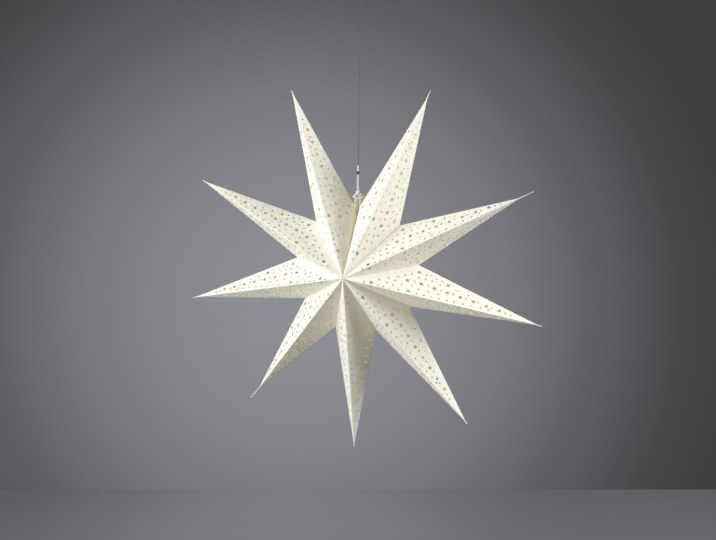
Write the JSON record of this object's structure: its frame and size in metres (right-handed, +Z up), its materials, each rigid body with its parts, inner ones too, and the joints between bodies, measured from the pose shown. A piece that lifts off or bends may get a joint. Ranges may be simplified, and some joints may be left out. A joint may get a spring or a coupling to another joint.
{
  "type": "hanging paper star",
  "caption": "Folded paper star lantern shape with nine pierced points, hung from a string and a thin thread.",
  "frame": {"origin": "centre of the loop at the top of the thread, where the star is hung up", "axes": "+Z up along the thread, the front of the star faces -Y, +X to the right seen from the front"},
  "size_m": [0.7312, 0.186, 0.9265],
  "materials": {
    "card": "uncoated white card, pierced",
    "string": "twisted white cotton",
    "thread": "dark nylon thread"
  },
  "bodies": {
    "root": {"point_1": "card", "point_2": "card", "point_3": "card", "point_4": "card", "point_5": "card", "point_6": "card", "point_7": "card", "point_8": "card", "point_9": "card", "tie_string": "string", "tie_knot": "string", "hang_thread": "thread", "thread_knot": "thread", "hang_loop": "thread"}
  },
  "joints": []
}
